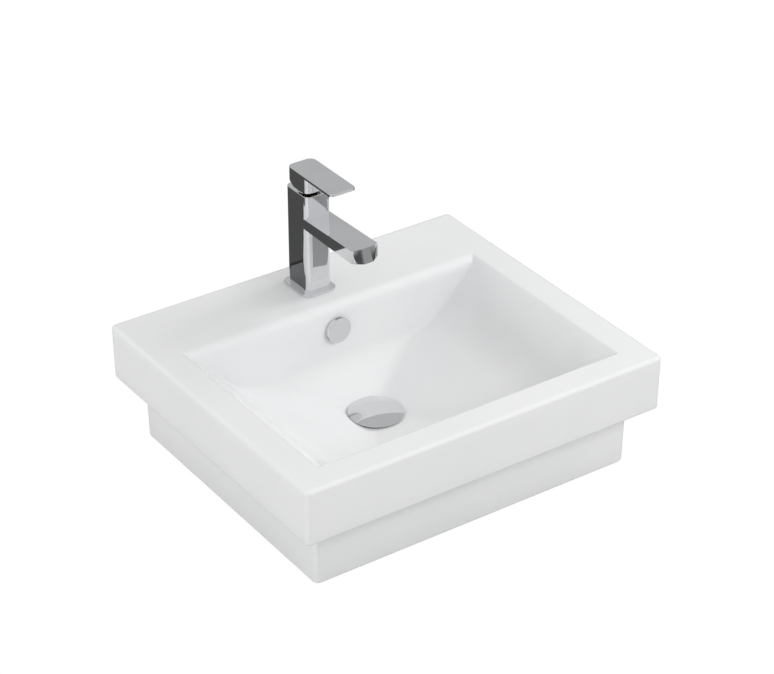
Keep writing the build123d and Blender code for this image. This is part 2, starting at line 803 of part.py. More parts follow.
# Cartridge: base with its ports and rings, housing and fixed disc
with BuildPart() as cartridge_base:
    with BuildSketch(tap_plane(cavity_floor)):
        Circle(cartridge_radius)
    extrude(amount=base_height)
    with BuildSketch(tap_plane(base_top)):
        Circle(housing_bore - fit_clearance)
    extrude(amount=base_spigot)
    with BuildSketch(tap_plane(cavity_floor)):
        with Locations((inlet_x, inlet_y), (-inlet_x, inlet_y)):
            Circle(port_radius)
    extrude(amount=base_height + base_spigot, mode=Mode.SUBTRACT)
    with BuildSketch(tap_plane(cavity_floor)):
        with Locations((inlet_x, inlet_y), (-inlet_x, inlet_y)):
            Circle(o_ring_radius + fit_clearance)
    extrude(amount=gasket_thickness, mode=Mode.SUBTRACT)
    with BuildSketch(tap_plane(cavity_floor + base_height / 2)):
        with Locations((0, outlet_port_y)):
            Circle(port_radius)
    extrude(amount=base_height + base_spigot, mode=Mode.SUBTRACT)
    with BuildSketch(tap_plane(cavity_floor + base_height / 2)):
        with Locations((0, outlet_port_y / 2 - cartridge_radius / 2)):
            Rectangle(outlet_width, cartridge_radius + outlet_port_y)
    extrude(amount=base_height / 2, mode=Mode.SUBTRACT)
finish(cartridge_base, "cartridge_base")

with BuildPart() as cartridge_seals:
    with BuildSketch(tap_plane(cavity_floor)):
        with Locations((inlet_x, inlet_y), (-inlet_x, inlet_y)):
            Circle(o_ring_radius)
            Circle(inlet_bore, mode=Mode.SUBTRACT)
    extrude(amount=gasket_thickness)
finish(cartridge_seals, "cartridge_seals")

with BuildPart() as cartridge_housing:
    with BuildSketch(tap_plane(base_top)):
        Circle(cartridge_radius)
        Circle(housing_bore, mode=Mode.SUBTRACT)
    extrude(amount=nut_foot - base_top)
    with BuildSketch(tap_plane(roof_foot)):
        Circle(cartridge_radius)
    extrude(amount=housing_roof)
    with BuildSketch(tap_plane(nut_foot)):
        Circle(neck_radius)
    extrude(amount=neck_height)
    with BuildSketch(tap_plane(roof_foot)):
        Circle(barrel_radius + fit_clearance)
    extrude(amount=housing_roof + neck_height, mode=Mode.SUBTRACT)
finish(cartridge_housing, "cartridge_housing")

with BuildPart() as fixed_disc:
    with BuildSketch(tap_plane(spigot_top)):
        Circle(housing_bore - running_gap)
        with Locations((inlet_x, inlet_y), (-inlet_x, inlet_y), (0, outlet_port_y)):
            Circle(port_radius, mode=Mode.SUBTRACT)
    extrude(amount=fixed_disc_height)
finish(fixed_disc, "fixed_disc")

# Cartridge: what slides and turns inside it
slider_plane_y = tap_y + disc_rest_offset

with BuildPart() as moving_disc:
    with BuildSketch(Plane((0, slider_plane_y, moving_disc_foot))):
        Circle(moving_disc_radius)
    extrude(amount=moving_disc_height)
    with BuildSketch(Plane((0, slider_plane_y, moving_disc_foot))):
        SlotOverall(1.5 * moving_disc_radius, 0.7 * moving_disc_radius)
    extrude(amount=moving_disc_height / 2, mode=Mode.SUBTRACT)
finish(moving_disc, "moving_disc")

with BuildPart() as disc_carriage:
    with BuildSketch(Plane((0, slider_plane_y, carriage_foot))):
        Circle(moving_disc_radius)
    extrude(amount=carriage_height)
    with BuildSketch(tap_plane(carriage_top)):
        Rectangle(2 * ball_radius + 2 * slot_clearance, 2 * ball_radius + 2 * socket_clearance)
    extrude(amount=-socket_depth, mode=Mode.SUBTRACT)
finish(disc_carriage, "disc_carriage")

with BuildPart() as swivel_carrier:
    with BuildSketch(tap_plane(flange_top - carrier_flange_height)):
        Circle(carrier_flange_radius)
    extrude(amount=carrier_flange_height)
    with BuildSketch(tap_plane(flange_top)):
        Circle(barrel_radius)
    extrude(amount=neck_top - running_gap - flange_top)
    swing = tan(radians(handle_lift))
    half_depth = spindle_depth / 2 / cos(radians(handle_lift)) + slot_clearance
    pocket_drop = spindle_shoulder + spindle_depth / 2 * sin(radians(handle_lift)) + slot_clearance
    above_pivot = neck_top - pivot_z + 1
    below_pivot = pivot_z - flange_top + carrier_flange_height + 1
    with BuildSketch(side_plane(tap_y, pivot_z)):
        Polygon(
            (-half_depth, above_pivot),
            (half_depth + swing * above_pivot, above_pivot),
            (half_depth, 0),
            (half_depth, -pocket_drop),
            (-half_depth - swing * pocket_drop, -pocket_drop),
            (-half_depth, 0),
            align=None,
        )
    extrude(amount=spindle_width / 2 + slot_clearance, both=True, mode=Mode.SUBTRACT)
    # The ball passes down this slot when the spindle is fitted, and swings up into it at full lift
    ball_way = ball_radius / cos(radians(handle_lift)) + slot_clearance
    with BuildSketch(side_plane(tap_y, pivot_z)):
        Polygon(
            (ball_way, 0),
            (ball_way, -below_pivot),
            (-ball_way - swing * below_pivot, -below_pivot),
            (-ball_way, 0),
            align=None,
        )
    extrude(amount=ball_radius + slot_clearance, both=True, mode=Mode.SUBTRACT)
    with BuildSketch(side_plane(tap_y, pivot_z)):
        Circle(pivot_radius + pivot_clearance / 2)
    extrude(amount=barrel_radius + 1, both=True, mode=Mode.SUBTRACT)
finish(swivel_carrier, "swivel_carrier")

with BuildPart() as pivot_pin:
    with BuildSketch(side_plane(tap_y, pivot_z)):
        Circle(pivot_radius)
    extrude(amount=barrel_radius - 2 * running_gap, both=True)
finish(pivot_pin, "pivot_pin")

with BuildPart() as spindle:
    with BuildSketch(tap_plane(spindle_foot)):
        Rectangle(spindle_width, spindle_depth)
    extrude(amount=spindle_top - spindle_foot)
    with BuildSketch(tap_plane(ball_z)):
        Circle(spindle_rod)
    extrude(amount=spindle_foot - ball_z)
    with Locations((0, tap_y, ball_z)):
        Sphere(ball_radius)
    with BuildSketch(side_plane(tap_y, pivot_z)):
        Circle(pivot_radius + pivot_clearance)
    extrude(amount=spindle_width, both=True, mode=Mode.SUBTRACT)
finish(spindle, "spindle")

# Cartridge: the nut that holds it down and the collar that hides the nut
with BuildPart() as cartridge_nut:
    with BuildSketch(tap_plane(nut_foot)):
        Circle(nut_thread_radius - fit_clearance / 2)
    extrude(amount=nut_thread_length - nut_shoulder)
    with BuildSketch(tap_plane(column_top - nut_shoulder)):
        RegularPolygon(nut_hex_radius, 6)
    extrude(amount=nut_shoulder + nut_head_height)
    with BuildSketch(tap_plane(nut_foot)):
        Circle(neck_radius + nut_bore_clearance)
    extrude(amount=nut_thread_length + nut_head_height, mode=Mode.SUBTRACT)
finish(cartridge_nut, "cartridge_nut")

with BuildPart() as trim_collar:
    with BuildSketch(tap_plane(column_top)):
        Circle(collar_radius)
        Circle(nut_hex_radius + fit_clearance, mode=Mode.SUBTRACT)
    extrude(amount=collar_height)
    outer_rim = trim_collar.faces().sort_by(Axis.Z)[-1].outer_wire().edges()
    fillet(outer_rim, collar_height / 2)
finish(trim_collar, "trim_collar")

# Handle: block and lever in one casting, with its screw and plug
handle_length = handle_back_y - handle_front_y
block_depth = handle_back_y - block_front_y

with BuildPart() as handle:
    with BuildSketch(Plane((0, block_front_y + block_depth / 2, handle_foot))):
        RectangleRounded(handle_width, block_depth, handle_back_radius)
    extrude(amount=handle_crown - handle_foot - lever_thickness)
    with BuildSketch(Plane((0, handle_front_y + handle_length / 2, handle_crown - lever_thickness))) as lever:
        Rectangle(handle_width, handle_length)
        fillet(lever.vertices().group_by(Axis.Y)[-1], handle_back_radius)
        fillet(lever.vertices().group_by(Axis.Y)[0], handle_front_radius)
    extrude(amount=lever_thickness)
    fillet(handle.faces().sort_by(Axis.Z)[-1].edges(), handle_edge_radius)
    with BuildSketch(side_plane(handle_back_y, handle_foot)):
        Polygon(
            (0, block_chamfer_z),
            (1, block_chamfer_z),
            (1, -1),
            (-block_chamfer_y, -1),
            (-block_chamfer_y, 0),
            align=None,
        )
    extrude(amount=handle_width, both=True, mode=Mode.SUBTRACT)
    with BuildSketch(tap_plane(handle_foot)):
        Circle(pocket_radius)
    extrude(amount=handle_crown - pocket_roof - handle_foot, mode=Mode.SUBTRACT)
    with BuildSketch(tap_plane(handle_foot + handle_boss_lift)):
        Circle(handle_boss_radius)
    extrude(amount=handle_crown - pocket_roof - handle_foot - handle_boss_lift)
    with BuildSketch(tap_plane(handle_foot)):
        Rectangle(spindle_width + fit_clearance, spindle_depth + fit_clearance)
    extrude(amount=spindle_head + fit_clearance, mode=Mode.SUBTRACT)
    with BuildSketch(across_plane(tap_y, grub_screw_z)):
        Circle(grub_screw_radius + fit_clearance / 2)
    extrude(amount=handle_back_y - tap_y + 1, mode=Mode.SUBTRACT)
finish(handle, "handle")

with BuildPart() as grub_screw:
    with BuildSketch(across_plane(tap_y + spindle_depth / 2, grub_screw_z)):
        Circle(grub_screw_radius)
    extrude(amount=grub_screw_length)
    with BuildSketch(across_plane(tap_y + spindle_depth / 2 + grub_screw_length, grub_screw_z)):
        RegularPolygon(grub_screw_radius / 2, 6)
    extrude(amount=-grub_screw_length / 2, mode=Mode.SUBTRACT)
finish(grub_screw, "grub_screw")

with BuildPart() as index_plug:
    with BuildSketch(across_plane(handle_back_y - index_plug_length, grub_screw_z)):
        Circle(grub_screw_radius)
    extrude(amount=index_plug_length + index_plug_proud)
finish(index_plug, "index_plug")

# Tap fixing: stud, horseshoe washers and nut under the deck
with BuildPart() as fixing_stud:
    with BuildSketch(tap_plane(stud_top)):
        with Locations((0, stud_y)):
            Circle(stud_radius)
    extrude(amount=-stud_length)
finish(fixing_stud, "fixing_stud")


def horseshoe(foot, thickness, radius):
    """A washer with a hole for the stud, open to the front where the hoses pass."""
    with BuildPart() as made:
        with BuildSketch(tap_plane(foot)):
            Circle(radius)
            with Locations((0, -radius / 2)):
                Rectangle(horseshoe_slot, radius + 2 * horseshoe_slot_reach, mode=Mode.SUBTRACT)
            with Locations((0, stud_y)):
                Circle(stud_radius + fit_clearance, mode=Mode.SUBTRACT)
        extrude(amount=thickness)
    return made


horseshoe_gasket = horseshoe(rubber_foot, rubber_washer_thickness, horseshoe_radius)
finish(horseshoe_gasket, "horseshoe_gasket")
horseshoe_washer = horseshoe(steel_foot, steel_washer_thickness, horseshoe_radius - 1)
finish(horseshoe_washer, "horseshoe_washer")

with BuildPart() as fixing_nut:
    with BuildSketch(tap_plane(fixing_nut_foot)):
        with Locations((0, stud_y)):
            RegularPolygon(fixing_nut_radius, 6)
            Circle(stud_radius + fit_clearance / 2, mode=Mode.SUBTRACT)
    extrude(amount=fixing_nut_height)
finish(fixing_nut, "fixing_nut")
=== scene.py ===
"""Looks of the stepped ceramic basin with its chrome mixer tap, overflow cap and click waste."""

import json
from math import cos, pi, radians, sin, tan

import bmesh
import bpy
import numpy as np
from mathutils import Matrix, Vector


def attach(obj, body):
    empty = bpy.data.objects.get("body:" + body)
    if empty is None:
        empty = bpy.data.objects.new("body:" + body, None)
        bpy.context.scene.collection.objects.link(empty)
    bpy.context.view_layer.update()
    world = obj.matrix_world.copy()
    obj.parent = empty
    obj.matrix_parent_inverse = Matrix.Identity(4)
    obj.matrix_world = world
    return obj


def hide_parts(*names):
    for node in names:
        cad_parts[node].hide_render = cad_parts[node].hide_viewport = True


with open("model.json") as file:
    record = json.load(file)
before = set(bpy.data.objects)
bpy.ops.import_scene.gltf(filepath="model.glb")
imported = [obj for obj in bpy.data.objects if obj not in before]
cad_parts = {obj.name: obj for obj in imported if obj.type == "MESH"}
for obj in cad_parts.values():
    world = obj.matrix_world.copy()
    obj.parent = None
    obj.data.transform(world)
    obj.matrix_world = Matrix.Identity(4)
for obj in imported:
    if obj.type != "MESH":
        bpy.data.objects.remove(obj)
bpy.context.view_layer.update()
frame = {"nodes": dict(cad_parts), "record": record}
nodes = frame["nodes"]
MM = 0.001

# Basin, in millimetres as in the CAD source
HALF_X, HALF_Y, TOP = 260.0, 225.0, 158.0
RIM_FOOT, PLINTH_INSET, WALL = 83.0, 28.0, 12.0
RIM_DRAFT, PLINTH_DRAFT = tan(radians(0.8)), tan(radians(1.0))
CORNER, TOP_EDGE, LOW_EDGE, FOOT_EDGE = 7.0, 5.0, 3.0, 3.0
OPEN_X, OPEN_FRONT, BACK_Y = 220.0, -187.0, 105.0
FLOOR_Z, FLAT_X, FLAT_FRONT, FLAT_BACK = 40.5, 28.0, -11.0, 48.5
WASTE_Y, TAP_Y, OVERFLOW_Z = 17.0, 167.0, 123.0
# Openings left in the glazed shell, hidden by the waste flange, the tap and the overflow cap
WASTE_HOLE, TAP_HOLE, OVERFLOW_HOLE = 32.0, 17.0, 10.0

# Slopes of the bowl in degrees: each wall is steep at the rim, then gentle towards the waste
SIDE_STEEP, SIDE_GENTLE = 46.5, 21.0
FRONT_STEEP, FRONT_GENTLE = 62.0, 10.0
REAR_GENTLE = 29.0
# Bands over which neighbouring surfaces blend, in millimetres
SIDE_BLEND, FRONT_BLEND, FLOOR_BLEND, REAR_BLEND = 12.0, 21.0, 3.0, 5.0
RIM_BLEND, LIP_BLEND = 1.8, 15.0
# The crease between side and front: its band grows with depth and closes again at the floor
CREASE, CREASE_GROWTH, CREASE_END, CREASE_FADE = 3.0, 0.28, 112.0, 50.0


def soft_min(a, b, k):
    """The smaller of two distances, blended over a band k."""
    h = np.maximum(k - np.abs(a - b), 0.0)
    return np.minimum(a, b) - h * h / (4.0 * np.maximum(k, 1e-6))


def soft_max(a, b, k):
    return -soft_min(-a, -b, k)


def incline(z, run, height, degrees):
    """Distance above a plane that rises from height by degrees over run."""
    return (z - height - tan(radians(degrees)) * run) * cos(radians(degrees))


def air(x, y, z):
    """Positive in the air of the bowl and above the deck, negative in the ceramic."""
    ax = np.abs(x)
    depth = np.maximum(TOP - z, 0.0)
    base = z - FLOOR_Z
    steep = incline(z, ax - OPEN_X, TOP, SIDE_STEEP)
    gentle = incline(z, ax - FLAT_X, FLOOR_Z, SIDE_GENTLE)
    side = soft_min(steep, gentle, SIDE_BLEND)
    wall = incline(z, OPEN_FRONT - y, TOP, FRONT_STEEP)
    apron = incline(z, FLAT_FRONT - y, FLOOR_Z, FRONT_GENTLE)
    front = soft_min(wall, apron, FRONT_BLEND)
    rise = incline(z, y - FLAT_BACK, FLOOR_Z, REAR_GENTLE)
    crease = CREASE + CREASE_GROWTH * depth * np.clip((CREASE_END - depth) / CREASE_FADE, 0.0, 1.0)
    body = soft_min(side, front, crease)
    body = soft_min(body, base, FLOOR_BLEND)
    body = soft_min(body, rise, REAR_BLEND)
    body = soft_max(z - TOP, body, RIM_BLEND)
    back = soft_max(z - TOP, BACK_Y - y, LIP_BLEND)
    swell = np.clip((150.0 - ax) / 100.0, 0.0, 1.0)
    return soft_min(body, back, (0.10 + 0.08 * swell) * depth)


def graded(stops):
    """Numbers from (start, spacing) stops up to the last stop, evenly spaced in each stretch."""
    values = []
    for (a, step), (b, _) in zip(stops, stops[1:]):
        values.extend(np.linspace(a, b, max(1, round((b - a) / step)) + 1)[:-1])
    values.append(stops[-1][0])
    return np.array(values)


# The grid's border, and where its straight stretches end and its corners begin
GRID_X, GRID_Y = 250.0, 215.0
STRAIGHT_X, STRAIGHT_Y = 244.0, 209.0
# The line that the rays start from, and how often each ray is halved
SIGHT_Y, SIGHT_RISE, HALVINGS = -15.0, 70.0, 42


def bowl_grid():
    """Points of the deck and bowl, found along rays in planes across X from a line above the bowl."""
    right = graded([
        (0, 2.5), (60, 2.2), (205, 1.6), (214, 0.8), (217.5, 0.35), (221.5, 0.8), (224, 2.0),
        (STRAIGHT_X, 1.0), (GRID_X, 1),
    ])
    xs = np.concatenate([-right[:0:-1], right])
    ends = [(-GRID_Y, 1.0), (-STRAIGHT_Y, 2.2), (-192, 0.6), (-182, 2.0), (-150, 2.4)]
    front = graded(ends)
    front_line = [(y, TOP if y < OPEN_FRONT else TOP - (y - OPEN_FRONT) * 1.05) for y in front]
    low = graded([(-150, 2.0), (-100, 2.4), (60, 2.0), (BACK_Y, 1)])
    low_y, low_z = [-150, -125, -10, 50, BACK_Y], [119, 60, FLOOR_Z, FLOOR_Z, 72]
    low_line = [(y, np.interp(y, low_y, low_z)) for y in low[1:]]
    up = graded([(72, 1.8), (140, 1.2), (TOP, 1)])
    up_line = [(BACK_Y, z) for z in up[1:]]
    rear = graded([(BACK_Y, 1.0), (122, 2.6), (STRAIGHT_Y, 1.0), (GRID_Y, 1)])
    rear_line = [(y, TOP) for y in rear[1:]]
    target = np.array(front_line + low_line + up_line + rear_line)
    start = np.array([SIGHT_Y, TOP + SIGHT_RISE])
    rays = target - start
    rays /= np.linalg.norm(rays, axis=1)[:, None]
    x = np.repeat(xs[:, None], len(rays), 1)
    near = np.full(x.shape, 20.0)
    far = np.full(x.shape, (TOP - 6.0 - FLOOR_Z + SIGHT_RISE) * 3.0)
    sy, sz = rays[:, 0][None, :], rays[:, 1][None, :]
    for _ in range(HALVINGS):
        mid = (near + far) / 2
        inside = air(x, start[0] + mid * sy, start[1] + mid * sz) > 0
        near = np.where(inside, mid, near)
        far = np.where(inside, far, mid)
    return np.stack([x, start[0] + near * sy, start[1] + near * sz], -1)


def rounded_ring(edge, half_x, half_y, radius, z):
    """The grid's boundary points spread round a rectangle with rounded corners."""
    out = []
    cx, cy = half_x - radius, half_y - radius
    for x, y, along in edge:
        if along is None:
            if abs(abs(y) - GRID_Y) < 1e-6:
                out.append((x / STRAIGHT_X * cx, np.sign(y) * half_y, z))
            else:
                out.append((np.sign(x) * half_x, y / STRAIGHT_Y * cy, z))
        else:
            out.append((
                np.sign(x) * (cx + radius * sin(along)),
                np.sign(y) * (cy + radius * cos(along)),
                z,
            ))
    return out


def basin_shell():
    """The glazed outside of the basin: deck, bowl, stepped sides and foot, as one mesh."""
    grid = bowl_grid()
    nx, ny = grid.shape[:2]
    verts = [tuple(p) for p in grid.reshape(-1, 3)]
    faces = []
    for i in range(nx - 1):
        for j in range(ny - 1):
            quad = (i * ny + j, (i + 1) * ny + j, (i + 1) * ny + j + 1, i * ny + j + 1)
            c = grid[i:i + 2, j:j + 2].mean((0, 1))
            waste = np.hypot(c[0], c[1] - WASTE_Y) < WASTE_HOLE and c[2] < 60
            overflow = np.hypot(c[0], c[2] - OVERFLOW_Z) < OVERFLOW_HOLE and abs(c[1] - BACK_Y) < 2
            tap = np.hypot(c[0], c[1] - TAP_Y) < TAP_HOLE and c[2] > TOP - 1
            if not (waste or overflow or tap):
                faces.append(quad)
    loop = [i * ny for i in range(nx)]
    loop += [(nx - 1) * ny + j for j in range(1, ny)]
    loop += [i * ny + ny - 1 for i in range(nx - 2, -1, -1)]
    loop += [j for j in range(ny - 2, 0, -1)]
    edge = []
    for v in loop:
        x, y = verts[v][0], verts[v][1]
        along = None
        over_x = (abs(x) - STRAIGHT_X) / (GRID_X - STRAIGHT_X)
        over_y = (abs(y) - STRAIGHT_Y) / (GRID_Y - STRAIGHT_Y)
        if over_x > 1e-6 and over_y > 1e-6:
            along = over_x * pi / 4 if over_y > 1 - 1e-6 else pi / 2 - over_y * pi / 4
        edge.append((x, y, along))
    rings = [(TOP_EDGE + 2.0, TOP), (TOP_EDGE, TOP)]
    arc = np.linspace(0, pi / 2, 9)[1:]
    rings += [(TOP_EDGE * (1 - sin(t)), TOP - TOP_EDGE * (1 - cos(t))) for t in arc]
    for z in (140.0, 120.0, 100.0, RIM_FOOT + LOW_EDGE):
        rings.append(((TOP - z) * RIM_DRAFT, z))
    low = (TOP - RIM_FOOT - LOW_EDGE) * RIM_DRAFT
    arc = np.linspace(0, pi / 2, 6)[1:]
    rings += [(low + LOW_EDGE * (1 - cos(t)), RIM_FOOT + LOW_EDGE * (1 - sin(t))) for t in arc]
    under = PLINTH_INSET + 0.02
    rings += [(under - 1.6, RIM_FOOT), (under - 0.5, RIM_FOOT - 0.45), (under, RIM_FOOT - 1.6)]
    for z in (60.0, 35.0, FOOT_EDGE):
        rings.append((PLINTH_INSET + (RIM_FOOT + 1 - z) * PLINTH_DRAFT, z))
    low = PLINTH_INSET + (RIM_FOOT + 1 - FOOT_EDGE) * PLINTH_DRAFT
    rings += [(low + FOOT_EDGE * (1 - cos(t)), FOOT_EDGE * (1 - sin(t))) for t in arc]
    rings.append((PLINTH_INSET + WALL, 0.0))
    last = loop
    for inset, z in rings:
        radius = max(CORNER - inset, 2.0) if inset < TOP_EDGE + 3 else CORNER
        ring = rounded_ring(edge, HALF_X - inset, HALF_Y - inset, radius, z)
        start = len(verts)
        verts.extend(ring)
        now = list(range(start, start + len(ring)))
        n = len(ring)
        faces.extend((last[k], now[k], now[(k + 1) % n], last[(k + 1) % n]) for k in range(n))
        last = now
    return verts, faces


def hidden_ceramic(source):
    """Triangles of the CAD basin that the shell doesn't cover: its inside, its holes and its recesses."""
    mesh = source.data
    co = np.zeros(len(mesh.vertices) * 3)
    mesh.vertices.foreach_get("co", co)
    co = co.reshape(-1, 3) / MM
    keep = []
    for p in mesh.polygons:
        pts = co[list(p.vertices)]
        c = pts.mean(0)
        n = np.array(p.normal)
        in_hole = np.hypot(c[0], c[1] - WASTE_Y) < WASTE_HOLE + 1.2 and c[2] < 60
        in_hole = in_hole or np.hypot(c[0], c[1] - TAP_Y) < TAP_HOLE + 0.6
        overflow = np.hypot(c[0], c[2] - OVERFLOW_Z) < OVERFLOW_HOLE + 1.2 and c[1] > BACK_Y + 0.2
        in_hole = in_hole or overflow
        facing = n[2] > 0.05 or n[1] < -0.9 and c[1] < BACK_Y + 1
        on_bowl = facing and air(*c) > -7.0 and not in_hole
        rim = c[2] > RIM_FOOT - 0.1
        plinth = PLINTH_INSET + (RIM_FOOT + 1 - c[2]) * PLINTH_DRAFT
        inset = (TOP - c[2]) * RIM_DRAFT if rim else plinth
        outside = abs(c[0]) > HALF_X - inset - 4 or abs(c[1]) > HALF_Y - inset - 4
        ledge = abs(c[2] - RIM_FOOT) < 0.1 and n[2] < -0.9
        foot = c[2] < 0.1 and n[2] < -0.9
        if on_bowl or outside or ledge or foot:
            continue
        keep.append([tuple(co[v]) for v in p.vertices])
    return keep


def new_object(name, verts, faces, smooth_angle=70.0):
    """A mesh object in metres from points in millimetres, smooth except at edges past the angle."""
    mesh = bpy.data.meshes.new(name)
    mesh.from_pydata([tuple(c * MM for c in v) for v in verts], [], faces)
    bm = bmesh.new()
    bm.from_mesh(mesh)
    bmesh.ops.remove_doubles(bm, verts=bm.verts, dist=1e-6)
    bmesh.ops.recalc_face_normals(bm, faces=bm.faces)
    limit = radians(smooth_angle)
    for e in bm.edges:
        e.smooth = not (len(e.link_faces) == 2 and e.calc_face_angle(0) > limit)
    for f in bm.faces:
        f.smooth = True
    bm.to_mesh(mesh)
    bm.free()
    obj = bpy.data.objects.new(name, mesh)
    bpy.context.scene.collection.objects.link(obj)
    return obj


def material(name, colour, metallic=0.0, rough=0.4):
    """A Principled material, its nodes and its shader."""
    made = bpy.data.materials.new(name)
    made.use_nodes = True
    shader = made.node_tree.nodes["Principled BSDF"]
    shader.inputs["Base Color"].default_value = (*colour, 1.0)
    shader.inputs["Metallic"].default_value = metallic
    shader.inputs["Roughness"].default_value = rough
    shader.inputs["IOR"].default_value = 1.5
    return made, made.node_tree.nodes, made.node_tree.links, shader


def noise(ns, links, coords, scale, detail, rough=0.5, stretch=(1, 1, 1)):
    """A noise value over object coordinates."""
    mapping = ns.new("ShaderNodeMapping")
    mapping.inputs["Scale"].default_value = stretch
    texture = ns.new("ShaderNodeTexNoise")
    texture.inputs["Scale"].default_value = scale
    texture.inputs["Detail"].default_value = detail
    texture.inputs["Roughness"].default_value = rough
    links.new(coords.outputs["Object"], mapping.inputs["Vector"])
    links.new(mapping.outputs["Vector"], texture.inputs["Vector"])
    return texture.outputs["Fac"]


def ramp(ns, links, value, low, high):
    """A colour ramp between two colours, over the middle of a noise value."""
    made = ns.new("ShaderNodeValToRGB")
    ends = made.color_ramp.elements
    ends[0].position, ends[1].position = 0.35, 0.65
    ends[0].color, ends[1].color = (*low, 1.0), (*high, 1.0)
    links.new(value, made.inputs["Fac"])
    return made.outputs["Color"]


def span(ns, links, value, low, high):
    """A value mapped from 0..1 to low..high."""
    made = ns.new("ShaderNodeMapRange")
    made.inputs["To Min"].default_value = low
    made.inputs["To Max"].default_value = high
    links.new(value, made.inputs["Value"])
    return made.outputs["Result"]


def bump(ns, links, shader, height, distance, strength):
    """Fine relief, distance in metres."""
    made = ns.new("ShaderNodeBump")
    made.inputs["Distance"].default_value = distance
    made.inputs["Strength"].default_value = strength
    links.new(height, made.inputs["Height"])
    links.new(made.outputs["Normal"], shader.inputs["Normal"])


def glaze():
    """White vitreous glaze: near-white body under a clear glossy layer with a faint long ripple."""
    made, ns, links, shader = material("glaze", (0.86, 0.865, 0.87), rough=0.12)
    coords = ns.new("ShaderNodeTexCoord")
    shade = noise(ns, links, coords, 6.0, 3.0)
    tones = ramp(ns, links, shade, (0.845, 0.85, 0.856), (0.87, 0.873, 0.876))
    links.new(tones, shader.inputs["Base Color"])
    gloss = noise(ns, links, coords, 35.0, 2.0)
    links.new(span(ns, links, gloss, 0.025, 0.055), shader.inputs["Roughness"])
    ripple = noise(ns, links, coords, 28.0, 1.0)
    bump(ns, links, shader, ripple, 0.00002, 0.3)
    return made


def chrome(name, tint=(0.80, 0.81, 0.825), rough=0.04):
    """Polished chrome plate with a trace of handling haze."""
    made, ns, links, shader = material(name, tint, metallic=1.0, rough=rough)
    coords = ns.new("ShaderNodeTexCoord")
    haze = noise(ns, links, coords, 60.0, 4.0, 0.6)
    links.new(span(ns, links, haze, rough * 0.6, rough * 1.8), shader.inputs["Roughness"])
    tone = noise(ns, links, coords, 18.0, 2.0)
    darker = tuple(c * 0.96 for c in tint)
    links.new(ramp(ns, links, tone, darker, tint), shader.inputs["Base Color"])
    ripple = noise(ns, links, coords, 45.0, 1.0)
    bump(ns, links, shader, ripple, 0.00006, 0.4)
    return made


def brushed(name, tint, rough):
    """Turned or brushed bare metal, its lines close together along Z."""
    made, ns, links, shader = material(name, tint, metallic=1.0, rough=rough)
    coords = ns.new("ShaderNodeTexCoord")
    lines = noise(ns, links, coords, 90.0, 3.0, 0.6, (1, 1, 40))
    links.new(span(ns, links, lines, rough * 0.7, rough * 1.4), shader.inputs["Roughness"])
    darker = tuple(c * 0.82 for c in tint)
    links.new(ramp(ns, links, lines, darker, tint), shader.inputs["Base Color"])
    bump(ns, links, shader, lines, 0.00004, 0.5)
    return made


def moulded(name, low, high, rough, scale=220.0, depth=0.00005):
    """Moulded plastic or rubber with a fine texture."""
    made, ns, links, shader = material(name, high, rough=rough)
    coords = ns.new("ShaderNodeTexCoord")
    fine = noise(ns, links, coords, scale, 3.0, 0.6)
    broad = noise(ns, links, coords, 25.0, 2.0)
    links.new(ramp(ns, links, broad, low, high), shader.inputs["Base Color"])
    links.new(span(ns, links, fine, rough * 0.85, min(1.0, rough * 1.15)), shader.inputs["Roughness"])
    bump(ns, links, shader, fine, depth, 0.6)
    return made


GLAZE = glaze()
LOOKS = {
    "ceramic_glaze": GLAZE,
    "tap_chrome": chrome("tap_chrome"),
    "waste_chrome": chrome("waste_chrome"),
    "bare_brass": brushed("bare_brass", (0.72, 0.56, 0.28), 0.28),
    "steel": brushed("steel", (0.62, 0.63, 0.64), 0.25),
    "black_rubber": moulded("black_rubber", (0.018, 0.018, 0.019), (0.035, 0.035, 0.036), 0.75),
    "white_plastic": moulded("white_plastic", (0.76, 0.76, 0.75), (0.82, 0.82, 0.81), 0.42),
    "grey_plastic": moulded("grey_plastic", (0.20, 0.21, 0.22), (0.26, 0.27, 0.28), 0.45),
    "disc_ceramic": moulded("disc_ceramic", (0.80, 0.78, 0.73), (0.86, 0.84, 0.80), 0.22, 320.0, 0.00001),
    "index_plastic": moulded("index_plastic", (0.30, 0.32, 0.36), (0.36, 0.38, 0.42), 0.30),
}
SLOT_OF = {row["node"]: row["material_slot"] for row in frame["record"]["subparts"]}


def dress(obj, look):
    """Gives an object one material."""
    obj.data.materials.clear()
    obj.data.materials.append(look)


for name, obj in nodes.items():
    dress(obj, LOOKS[SLOT_OF[name]])

shell_verts, shell_faces = basin_shell()
for piece in hidden_ceramic(nodes["basin"]):
    start = len(shell_verts)
    shell_verts.extend(piece)
    shell_faces.append(tuple(range(start, start + len(piece))))
basin = new_object("basin_glazed", shell_verts, shell_faces)
dress(basin, GLAZE)
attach(basin, "root")
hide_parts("basin")

